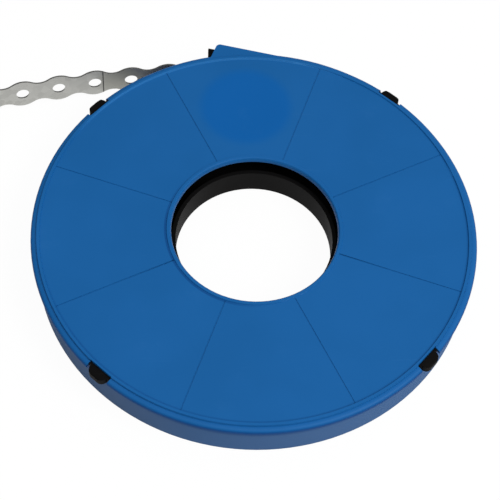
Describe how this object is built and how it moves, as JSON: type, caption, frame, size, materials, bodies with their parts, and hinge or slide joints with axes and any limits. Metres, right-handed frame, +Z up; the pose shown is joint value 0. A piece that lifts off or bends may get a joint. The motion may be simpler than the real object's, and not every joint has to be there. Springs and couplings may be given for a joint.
{
  "type": "perforated steel strap in dispenser case",
  "caption": "Ring-shaped plastic case that holds a wound perforated steel strap with wavy edges, and lets its free end out through a tangential spout.",
  "frame": {"origin": "on the axis of the case's centre hole, at the level of the floor that the case lies on", "axes": "+Z up along the centre hole's axis; -X along the way that the strap's free end leaves the case; +Y towards the side that has the spout"},
  "size_m": [0.2448, 0.2175, 0.0236],
  "materials": {
    "blue_plastic": "satin moulded plastic, mid blue",
    "black_plastic": "matt moulded plastic, black",
    "galvanised_steel": "dull zinc-coated steel"
  },
  "bodies": {
    "root": {"case_cover": "blue_plastic", "case_base": "black_plastic", "strap": "galvanised_steel"}
  },
  "joints": []
}
